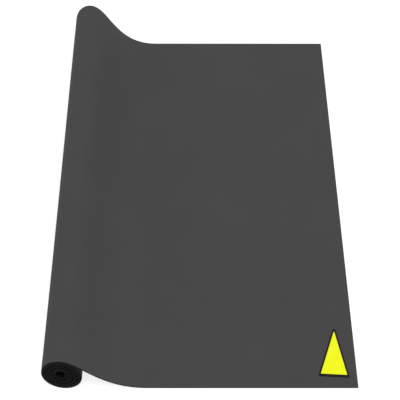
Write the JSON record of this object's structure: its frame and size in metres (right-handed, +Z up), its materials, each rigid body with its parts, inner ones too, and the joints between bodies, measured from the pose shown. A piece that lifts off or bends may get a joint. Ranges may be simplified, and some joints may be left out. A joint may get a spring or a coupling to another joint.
{
  "type": "electrical insulating mat",
  "caption": "Black rubber electrical insulating mat lying partly unrolled: flat sheet, soft rise to an open-bore roll, and a yellow triangular patch near one corner.",
  "frame": {"origin": "on the floor, under the middle of the mat's bounding box", "axes": "+Y along the roll's axis towards the end where the crest stands higher, +X from the roll to the free edge, +Z up"},
  "size_m": [0.5516, 1, 0.1063],
  "materials": {
    "rubber": "matt dark grey-black rubber with a fine cloth-like imprint",
    "patch_vinyl": "bright yellow printed vinyl with a thin black rim, satin"
  },
  "bodies": {
    "root": {"rubber_sheet": "rubber", "corner_patch": "patch_vinyl"}
  },
  "joints": []
}
